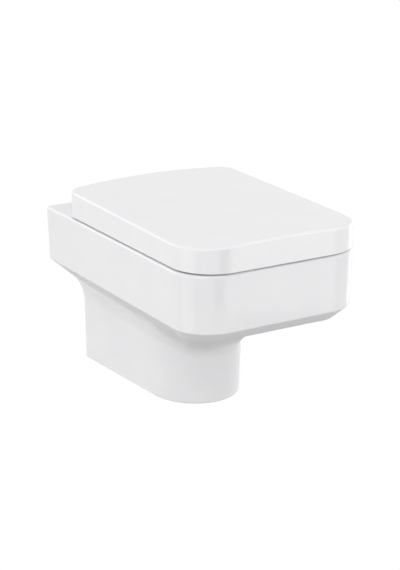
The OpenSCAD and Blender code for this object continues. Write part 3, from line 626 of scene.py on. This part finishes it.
def panOuter():
    # the deck's rounded edge, the drafted block, its crisp lower edge and everything under it, in one skin
    height = pan["deckZ"] - pan["rimZ"]
    lean = math.atan(pan["draft"] / height)
    rows = []

    def blockRow(inset, z):
        plan = halfPlan(pan["width"] / 2 - inset, -pan["depth"] + inset, 0.0, pan["corner"] - inset)
        return atHeight(plan, z)

    for a in np.linspace(math.pi / 2, -lean, pan["edgeRows"]):
        inset = pan["draft"] * pan["edge"] / height + pan["edge"] / math.cos(lean) - pan["edge"] * math.cos(a)
        rows.append(blockRow(inset, pan["deckZ"] - pan["edge"] + pan["edge"] * math.sin(a)))
    edgeEnd = rows[-1][0][2]
    for z in np.linspace(edgeEnd, pan["rimZ"], pan["wallRows"])[1:]:
        rows.append(blockRow(pan["draft"] * (pan["deckZ"] - z) / height, z))
    lowerEdge = len(rows) - 1
    under = skirtRows(0)[1]
    rows += [mix(rows[lowerEdge], under[0], t) for t in (0.3, 0.7)] + under
    rows = softened(rows, lowerEdge, pan["creaseUnderRim"])
    return skin("panOuter", [mirrored(row) for row in rows])


def panHollow():
    # the hollow behind the china wall, open towards the wall of the room
    rim, under = skirtRows(pan["china"])
    collar = atHeight(rimPlan(pan["china"] + pan["collar"], pan["past"]), rim[0][2] + pan["lap"])
    low = skin("hollowLow", [mirrored(row) for row in [collar, rim] + under])
    inward = pan["draft"] + pan["china"]
    plan = halfPlan(pan["width"] / 2 - inward, -pan["depth"] + inward, 2 * pan["past"],
                    pan["corner"] - pan["china"])
    high = skin("hollowHigh", [mirrored(atHeight(plan, pan["deckZ"] - pan["deck"])),
                               mirrored(atHeight(plan, pan["rimZ"] + pan["shoulder"]))])
    return high, low


bowl = {
    "mouthWidth": 276, "mouthFront": 34, "mouthBack": 168, "floor": 39, "china": 9,
    "power": 0.86, "roundDepth": 115,  # a squarish mouth that has become an oval at this depth
    # depth under the deck and how far inside the mouth's edge: soft lip, upright wall, flush ledge
    "lip": [(0, -4), (0.25, -2.4), (0.9, -1.1), (2.2, 0.1), (4, 0.8), (6.2, 1.2), (12, 1.7), (22, 2.5),
            (31, 3.4), (34.6, 4.4), (36.8, 6.4), (37.9, 9.2), (38.4, 12.4), (39.2, 15), (41.2, 17),
            (44.5, 18.2)],
    # depth, half width, front and back as shares of the depth, of half the mouth's width and of its length
    "shares": [(0.229, 0.841, 0.902, 0.069), (0.317, 0.768, 0.824, 0.092), (0.405, 0.674, 0.7205, 0.121),
               (0.493, 0.58, 0.608, 0.15), (0.581, 0.4855, 0.4957, 0.196), (0.669, 0.406, 0.432, 0.248),
               (0.757, 0.3406, 0.415, 0.271), (0.863, 0.29, 0.409, 0.271), (0.951, 0.232, 0.389, 0.271),
               (1, 0.13, 0.352, 0.277)],
    "bottom": (2.2, 0.6, 7),  # the last section: deeper by, half width times, each end in by
    # outside: from which depth, its collar inside the deck, how much deeper the china is lower down
    "outerFrom": 12, "collarDepth": 8, "lowFrom": 45, "lowShare": 0.8,
    # trap: bore radius, round end of the sump, its heel, up over the weir, down to the outlet
    "trap": 37, "sumpY": -272, "sumpZ": -173, "sumpBack": 6, "sumpShift": 1, "sumpExtra": 0.4, "heel": 35,
    "weirY": -150, "weirZ": -48, "dropY": -95, "bend": 20, "trapEnd": 12,
    "outletZ": -100, "outletExtra": 1.5, "spigot": 51, "spigotLength": 60,
    "inletZ": 35, "inlet": 27.5, "inletDepth": 62, "inletWall": 8.5, "inletEnd": 6,
    "duct": 18, "ductStart": 10, "ductWallStart": 20, "ductReach": 25,
    "clear": 2,  # how far a cut starts outside the china
}


def throughKnots(knots):
    # a smooth curve from the second knot to the last but one
    curve = []
    for p0, p1, p2, p3 in zip(knots, knots[1:], knots[2:], knots[3:]):
        for t in np.linspace(0, 1, steps["bowl"] + 1)[1:]:
            curve.append(0.5 * (2 * p1 + (p2 - p0) * t + (2 * p0 - 5 * p1 + 4 * p2 - p3) * t ** 2
                                + (3 * p1 - p0 - 3 * p2 + p3) * t ** 3))
    return curve


def bowlTable():
    # depth under the deck, half width, front and back of each section, from the lip down
    depth = pan["deckZ"] - pan["footZ"] - bowl["floor"]
    length = pan["depth"] - bowl["mouthFront"] - bowl["mouthBack"]
    half = bowl["mouthWidth"] / 2
    front, back = -(pan["depth"] - bowl["mouthFront"]), -bowl["mouthBack"]
    table = [(down, half - i, front + i, back - i) for down, i in bowl["lip"]]
    lower = np.array([(depth * down, half * w, back - f * length, back - b * length)
                      for down, w, f, b in bowl["shares"]])
    table += throughKnots(np.vstack([table[-2:], lower, 2 * lower[-1] - lower[-2]]))
    deeper, narrower, inward = bowl["bottom"]
    down, w, f, b = table[-1]
    return table + [(down + deeper, w * narrower, f + inward, b - inward)]


def bowlRing(depth, halfWidth, front, back, z):
    power = mix(bowl["power"], 1.0, min(1, max(0, depth) / bowl["roundDepth"]))
    return atHeight(egg(halfWidth, front, back, power), z)


def bowlInner():
    table = bowlTable()
    above = (-bowl["clear"], *table[0][1:])
    return skin("bowlInner", [bowlRing(*row, pan["deckZ"] - row[0]) for row in [above] + table])


def bowlOuter():
    grow = bowl["china"]
    rings = []
    for depth, halfWidth, front, back in bowlTable():
        if depth >= bowl["outerFrom"]:
            fall = grow * (bowl["lowShare"] if depth > bowl["lowFrom"] else 0.0)
            z = pan["deckZ"] - depth - fall
            rings.append(bowlRing(depth, halfWidth + grow, front - grow, back + grow, z))
    collar = atHeight(rings[0][:, :2], pan["deckZ"] - bowl["collarDepth"])
    return skin("bowlOuter", [collar] + rings)


def trapPath(end):
    b = bowl
    corners = [(0, b["sumpY"] - b["sumpBack"], b["sumpZ"]), (0, b["sumpY"] + b["heel"], b["sumpZ"]),
               (0, b["weirY"], b["weirZ"]), (0, b["dropY"], b["outletZ"]), (0, -end, b["outletZ"])]
    return bentPath(corners, b["bend"])


def levelRod(name, start, end, z, radius):
    # a round rod along the middle plane, so many millimetres out from the wall of the room
    return roundRod(name, (0, -start, z), (0, -end, z), radius)


# china shelves on the wall brackets; they reach into the side walls by the lap
shelf = {"inner": 60, "lap": 2, "y": (-72, -10), "z": (-32, -16), "edge": 3}

# holes on both sides: across, out from the wall, from and to which height, radius
fixingHoles = {
    "hingeHole": (77.5, 62, 90, 60, 7),
    "lockHole": (82, 42, -10, -40, 8),
    "accessHole": (82, 42, -225, -250, 7),
}


def makePan():
    b, grow = bowl, bowl["china"]
    sump = (0, b["sumpY"] - b["sumpShift"], b["sumpZ"])
    inletEnd = b["inletDepth"] + b["inletEnd"]
    body = panOuter()
    combine(body, "DIFFERENCE", *panHollow())
    # spigot and inlet start a hair short of the back, so that no two end faces share a plane
    combine(body, "UNION", bowlOuter(), tube("trapOuter", trapPath(b["spigotLength"] / 2), b["trap"] + grow),
            ball("sumpOuter", sump, b["trap"] + grow),
            levelRod("spigot", 0.02, b["spigotLength"], b["outletZ"], b["spigot"]),
            levelRod("inletBoss", 0.01, inletEnd, b["inletZ"], b["inlet"] + b["inletWall"]),
            levelRod("ductWall", b["ductWallStart"], b["mouthBack"], b["inletZ"], b["duct"] + grow))
    shelfOuter = pan["width"] / 2 - pan["draft"] - pan["china"] - shelf["lap"]
    for side in (-1, 1):
        low, high = sorted((side * shelf["inner"], side * shelfOuter))
        (y0, y1), (z0, z1) = shelf["y"], shelf["z"]
        combine(body, "UNION", softBox("shelf", (low, y0, z0), (high, y1, z1), shelf["edge"]))
    combine(body, "DIFFERENCE", bowlInner(), tube("trapInner", trapPath(b["trapEnd"]), b["trap"]),
            ball("sumpInner", sump, b["trap"] + b["sumpExtra"]),
            levelRod("outletBore", -b["clear"], -b["dropY"], b["outletZ"], b["trap"] + b["outletExtra"]),
            levelRod("inletBore", -b["clear"], b["inletDepth"], b["inletZ"], b["inlet"]),
            levelRod("ductBore", b["ductStart"], b["mouthBack"] + b["ductReach"], b["inletZ"], b["duct"]))
    for side in (-1, 1):
        for name, (across, out, z0, z1, radius) in fixingHoles.items():
            top, bottom = (side * across, -out, z0), (side * across, -out, z1)
            combine(body, "DIFFERENCE", roundRod(name, top, bottom, radius, steps["hole"]))
    return body


def markBare(mesh):
    # the back and the ends of outlet and inlet are ground flat and bare; everything else is glazed
    hair = 0.06 * mm
    for face in mesh.polygons:
        if face.center.y > -hair and abs(face.normal.y) > 0.9:
            face.material_index = 1


panPiece = makePan()
panPiece.name = "panChina"
coat(panPiece.data, "china", "bare")
markBare(panPiece.data)
dress(panPiece, "pan", "pan_body")
print("stage: pan made,", len(panPiece.data.polygons), "faces")


# hinge

hinge = {
    "axisY": -62, "axisZ": 116,
    "barrel": 11, "armEdge": 1.2, "armBite": 1,  # an arm reaches this far into its moulding
    "bore": 8.05, "boreDepth": 21, "boreStart": 2,
}


def hingeArm(name, root, turns, inner, outer, side):
    # an arm on one side: its root points in (y, z), then its round end about the hinge line
    barrel = [(hinge["axisY"] - hinge["barrel"] * math.sin(a), hinge["axisZ"] + hinge["barrel"] * math.cos(a))
              for a in np.radians(turns)]
    arm = softPrism(name, root + barrel, inner, outer, hinge["armEdge"])
    if side < 0:
        arm.data.transform(Matrix.Scale(-1, 4, (1, 0, 0)))
        arm.data.flip_normals()
    return arm


def hingeBore(side, face, inwards):
    # the socket for damper or bush, from an arm's face into it
    start = side * (face - inwards * hinge["boreStart"])
    end = side * (face + inwards * hinge["boreDepth"])
    return roundRod("bore", (start, hinge["axisY"], hinge["axisZ"]), (end, hinge["axisY"], hinge["axisZ"]),
                    hinge["bore"], steps["bore"])


# cover

cover = {
    "width": 357, "depth": 554, "back": 85.4, "bow": 4.6, "gap": 3, "height": 45, "rise": 7, "crown": 7.9,
    "corner": 79, "backCorner": 25.5, "edge": 5, "wall": 5, "root": 4, "lip": 0.8,
    "armIn": 89, "armOut": 114, "armReach": 30, "armDip": 3, "armFall": 2,
    "armTurns": np.linspace(10, -200, 28),  # degrees round the hinge line
    # notches that leave room for the seat's arms
    "notchX": (40, 67), "notchY": (-94, -76), "notchZ": (60, 124), "notchEdge": 2.5,
    "boss": 9, "bossBottom": 117, "bossRoot": 2, "bosses": [(120.12, -500.2), (139.44, -230.83)],
}


def coverPlan(inset):
    c = cover
    return mirrored(halfPlan(c["width"] / 2 - inset, -c["depth"] + inset, -c["back"] - inset,
                             c["corner"] - inset, c["backCorner"] - inset, c["bow"]))


def coverTop(x, y):
    # height of the upper skin: it rises towards the back and is crowned across
    c = cover
    return (pan["deckZ"] + c["height"] + c["rise"] * (y + c["depth"]) / (c["depth"] - c["back"])
            + c["crown"] * (1 - (x / (c["width"] / 2)) ** 2))


def onTop(plan, drop):
    return np.column_stack([plan, coverTop(plan[:, 0], plan[:, 1]) - drop])


def shrunk(plan, share, middle):
    return np.column_stack([plan[:, 0] * share, middle + (plan[:, 1] - middle) * share])


def coverShell():
    # over the top, round the upper edge, down the wall, round the lower lip and up the inside again
    c = cover
    edge, wall, root, lip = c["edge"], c["wall"], c["root"], c["lip"]
    middle = -(c["depth"] + c["back"]) / 2
    z = pan["deckZ"] + c["gap"]
    shares = np.linspace(0.04, 0.96, steps["cap"])
    rings = [onTop(shrunk(coverPlan(edge), s, middle), 0) for s in shares]
    rings += [onTop(coverPlan(edge * left), edge * come) for left, come in quarterTurn(10)]
    top, foot = rings[-1], atHeight(coverPlan(0), z + lip)
    rings += [mix(top, foot, t) for t in (0.33, 0.67, 1.0)]
    rings += [atHeight(coverPlan(lip * come), z + lip * left) for left, come in quarterTurn(4)[1:]]
    rings += [atHeight(coverPlan(wall - lip * left), z + lip * come) for left, come in quarterTurn(3)]
    low, high = rings[-1], onTop(coverPlan(wall), wall + root)
    rings += [mix(low, high, t) for t in (0.5, 1.0)]
    rings += [onTop(coverPlan(wall + root * come), wall + root * left) for left, come in quarterTurn(6)[1:]]
    rings += [onTop(shrunk(coverPlan(wall + root), s, middle), wall) for s in shares[::-1]]
    return skin("coverShell", rings)


def makeCover():
    c = cover
    shell = coverShell()
    rootY = -c["back"] - c["armReach"]
    crest = coverTop(c["armOut"], rootY) - c["armDip"]
    root = [(rootY, hinge["axisZ"] + hinge["barrel"]), (rootY, crest),
            (-c["back"] + hinge["armBite"], crest - c["armFall"])]
    for side in (-1, 1):
        combine(shell, "UNION", hingeArm("coverArm", root, c["armTurns"], c["armIn"], c["armOut"], side))
        for x, y in c["bosses"]:
            high = coverTop(x, y) - c["wall"] + c["bossRoot"]
            combine(shell, "UNION", roundRod(
                "boss", (side * x, y, c["bossBottom"]), (side * x, y, high), c["boss"], steps["bore"]))
        x0, x1 = sorted(side * x for x in c["notchX"])
        (y0, y1), (z0, z1) = c["notchY"], c["notchZ"]
        combine(shell, "DIFFERENCE", softBox("notch", (x0, y0, z0), (x1, y1, z1), c["notchEdge"]),
                hingeBore(side, c["armIn"], 1))
    return shell


coverPiece = makeCover()
coverPiece.name = "coverMoulding"
coat(coverPiece.data, "duroplast")
dress(coverPiece, "cover", "cover")
print("stage: cover made,", len(coverPiece.data.polygons), "faces")


# seat

seat = {
    "width": 336, "front": -544, "back": -106, "corner": 69, "backCorner": 40, "low": 85, "thick": 24,
    "lip": 6, "wall": 5.5, "foot": 0.5, "draft": 1.5, "bevel": 2.4, "topRows": 4,
    "holeWidth": 222, "holeFront": 72, "holeLength": 285, "holeLip": 1.6, "holePower": 0.9,
    "armIn": 41, "armOut": 66, "armReach": 14, "armTurns": np.linspace(20, -220, 30),
    "pads": [(137.76, -469.54), (146.16, -200.17)], "padHalf": (10, 19), "padEdge": 2, "bossRoot": 2,
}


def seatPlan(inset):
    s = seat
    return mirrored(halfPlan(s["width"] / 2 - inset, s["front"] + inset, s["back"] - inset,
                             s["corner"] - inset, s["backCorner"] - inset))


def holePlan(grow):
    # the opening's outline, each point in line with one of the outer outline
    s = seat
    outer = seatPlan(0)
    front = s["front"] + s["holeFront"]
    back = front + s["holeLength"]
    middle = back + widest * (front - back)
    a = np.arctan2(outer[:, 1] - middle, outer[:, 0])
    sn, cs = np.sin(a), np.cos(a)
    x = np.sign(cs) * (s["holeWidth"] / 2 + grow) * np.abs(cs) ** s["holePower"]
    length = np.where(sn > 0, back - middle + grow, middle - front + grow)
    return np.column_stack([x, middle + length * np.sign(sn) * np.abs(sn) ** s["holePower"]])


def seatRing():
    # from the outer edge of the top round the outside, along the hollow underneath and up the opening
    s = seat
    lip, bevel, wall, draft = s["lip"], s["bevel"], s["wall"], s["draft"]
    top, low = s["low"] + s["thick"], s["low"]
    inside, reach = top - wall, lip * s["holeLip"]
    rings = [atHeight(seatPlan(lip * left), top - lip * come) for left, come in quarterTurn(9)]
    rings += [atHeight(seatPlan(bevel * come), low + bevel * left) for left, come in quarterTurn(5)]
    rings += [atHeight(seatPlan(wall + s["foot"]), low), atHeight(seatPlan(wall + s["foot"] + draft), inside),
              atHeight(holePlan(wall + 2 * draft), inside), atHeight(holePlan(wall + draft), low)]
    rings += [atHeight(holePlan(bevel * come), low + bevel * left) for left, come in quarterTurn(5)[::-1]]
    rings += [atHeight(holePlan(reach * left), top - lip * come) for left, come in quarterTurn(12)[::-1]]
    last, first = rings[-1], rings[0]
    rings += [mix(last, first, t) for t in np.linspace(0, 1, s["topRows"] + 2)[1:-1]]
    return skin("seatRing", rings, looped=True)


def makeSeat():
    s = seat
    top, low = s["low"] + s["thick"], s["low"]
    ring = seatRing()
    rootY = s["back"] - s["armReach"]
    bite = hinge["armBite"]
    root = [(s["back"] + bite, low + bite), (rootY, low + bite), (rootY, top - bite)]
    halfX, halfY = s["padHalf"]
    bossTop = top - s["wall"] + s["bossRoot"]
    for side in (-1, 1):
        combine(ring, "UNION", hingeArm("seatArm", root, s["armTurns"], s["armIn"], s["armOut"], side))
        for x, y in s["pads"]:
            near, far = (side * x - halfX, y - halfY, low), (side * x + halfX, y + halfY, bossTop)
            combine(ring, "UNION", softBox("padBoss", near, far, s["padEdge"]))
        combine(ring, "DIFFERENCE", hingeBore(side, s["armOut"], -1))
    return ring


seatPiece = makeSeat()
seatPiece.name = "seatMoulding"
coat(seatPiece.data, "duroplast")
dress(seatPiece, "seat", "seat_ring")
print("stage: seat made,", len(seatPiece.data.polygons), "faces")


# fittings carried over from the CAD

carriedOver = {
    "wall_brackets": "galvanised", "stud_washers": "zinc", "stud_nuts": "zinc", "lug_bushes": "nylon",
    "lock_screws": "zinc", "base_washers": "rubber", "hinge_bases": "chrome", "top_fix_bolts": "stainless",
    "expansion_bushes": "rubber", "bush_nuts": "brass", "hinge_posts": "chrome",
    "post_set_screws": "stainless", "hinge_pins": "stainless", "seat_buffers": "pad",
    "cover_buffers": "pad", "seat_damper": "damper", "cover_damper": "damper", "seat_bush": "nylon",
    "cover_bush": "nylon",
}

for nodeName, finish in carriedOver.items():
    coat(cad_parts[nodeName].data, finish)
print("stage: fittings dressed")


# studio

studio = {
    # a light tent, brighter round the sides than overhead, and the heights between which it changes
    "skySide": 1.47, "skyTop": 0.69, "skyFrom": 0.1, "skyTo": 0.8,
    # the pan hangs clear of a pale paper sweep; eyes and mirrors see it white, with a share of its real
    # light left in so that the shadow stays
    "floorZ": -0.62, "floorHalf": 9000, "floorColour": "#BABABA", "floorWhite": 1.15, "whiteShare": 0.8,
    # a black card that draws the dark streak down the round corners: its middle, width and height
    "card": ((-0.11, -2.1, -0.36), (0.7, 0.52)), "cardColour": "#141414",
}

# place, aim, width and height in metres, and watts: the low ones draw the streaks down the round corners,
# the upper ones the bright line along the rounded edges of cover and deck
softboxes = {
    "left softbox": ((-1.45, -0.5, -0.1), (0, -0.35, -0.1), (0.9, 1.0), 2.0),
    "right softbox": ((1.7, -0.05, -0.06), (0, -0.3, -0.06), (0.8, 1.1), 2.3),
    "front softbox": ((0.77, -1.81, -0.06), (0, -0.3, -0.06), (0.56, 1.1), 1.5),
    "rear softbox": ((-1.15, 1.25, 0.62), (-0.15, -0.3, 0.08), (0.9, 0.7), 2.6),
    "upper softbox": ((-1.0, -1.35, 1.3), (-0.12, -0.5, 0.08), (0.9, 0.6), 2.2),
    "facing softbox": ((0.85, -1.75, 0.8), (0, -0.55, 0.08), (0.8, 0.9), 1.7),
}

white = (1, 1, 1, 1)


def seenOrMirrored(material):
    # one for what the camera and mirrors see, nought for the light that falls on things
    path = addNode(material, "ShaderNodeLightPath").outputs
    seen = path["Is Camera Ray"]
    for other in (path["Is Glossy Ray"], path["Is Transmission Ray"]):
        seen = addNode(material, "ShaderNodeMath", {0: seen, 1: other}, operation="MAXIMUM").outputs[0]
    return seen


def makeWorld():
    world = bpy.data.worlds.new("light tent")
    bpy.context.scene.world = world
    world.use_nodes = True
    world.node_tree.nodes.clear()
    way = addNode(world, "ShaderNodeTexCoord").outputs["Generated"]
    rise = addNode(world, "ShaderNodeSeparateXYZ", {"Vector": way}).outputs["Z"]
    strength = addNode(world, "ShaderNodeMapRange", {
        "Value": rise, "From Min": studio["skyFrom"], "From Max": studio["skyTo"],
        "To Min": studio["skySide"], "To Max": studio["skyTop"]}, interpolation_type="SMOOTHSTEP")
    tent = addNode(world, "ShaderNodeBackground", {"Color": white, "Strength": strength.outputs["Result"]})
    plain = addNode(world, "ShaderNodeBackground", {"Color": white, "Strength": 1.0})
    mixed = addNode(world, "ShaderNodeMixShader", {
        0: seenOrMirrored(world), 1: tent.outputs[0], 2: plain.outputs[0]})
    addNode(world, "ShaderNodeOutputWorld", {"Surface": mixed.outputs[0]})


def paleSweep(m):
    # uncoated paper: matt and even, with a slight cloudiness
    matt = addNode(m, "ShaderNodeBsdfDiffuse", {
        "Color": linearOf(studio["floorColour"]), "Roughness": drift(m, 0.88, 0.92, size=3)})
    bright = addNode(m, "ShaderNodeEmission", {"Color": white, "Strength": studio["floorWhite"]})
    share = addNode(m, "ShaderNodeMath", {
        0: seenOrMirrored(m), 1: studio["whiteShare"]}, operation="MULTIPLY")
    return addNode(m, "ShaderNodeMixShader", {0: share.outputs[0], 1: matt.outputs[0], 2: bright.outputs[0]})


def makeFloor():
    half = studio["floorHalf"]
    corners = [(-half, -half, 0), (half, -half, 0), (half, half, 0), (-half, half, 0)]
    floor = makeMesh("floor", np.array(corners, float), [(0, 1, 2, 3)])
    floor.location.z = studio["floorZ"]
    floor.data.materials.append(makeMaterial("pale paper sweep", paleSweep))


def blackFelt(m):
    # felt on a card: deep and matt, with a short nap
    return addNode(m, "ShaderNodeBsdfDiffuse", {
        "Color": linearOf(studio["cardColour"]), "Roughness": drift(m, 0.9, 1.0, size=2, detail=3)})


def makeCard():
    (x, y, z), (width, height) = studio["card"]
    left, right, low, high = x - width / 2, x + width / 2, z - height / 2, z + height / 2
    corners = [(left, y, low), (right, y, low), (right, y, high), (left, y, high)]
    card = makeMesh("blackCard", np.array(corners) / mm, [(0, 1, 2, 3)])
    card.data.materials.append(makeMaterial("black card", blackFelt))
    card.visible_camera = False  # it only works in reflections


def makeSoftbox(name, place, aim, size, watts):
    lamp = bpy.data.lights.new(name, "AREA")
    lamp.shape = "RECTANGLE"
    lamp.size, lamp.size_y = size
    lamp.energy = watts
    holder = bpy.data.objects.new(name, lamp)
    bpy.context.scene.collection.objects.link(holder)
    holder.location = place
    holder.rotation_mode = "QUATERNION"
    holder.rotation_quaternion = (Vector(aim) - Vector(place)).to_track_quat("-Z", "Y")


makeWorld()
makeFloor()
makeCard()
for name, softbox in softboxes.items():
    makeSoftbox(name, *softbox)
bpy.context.scene.view_settings.view_transform = "Standard"
print("stage: studio lit")
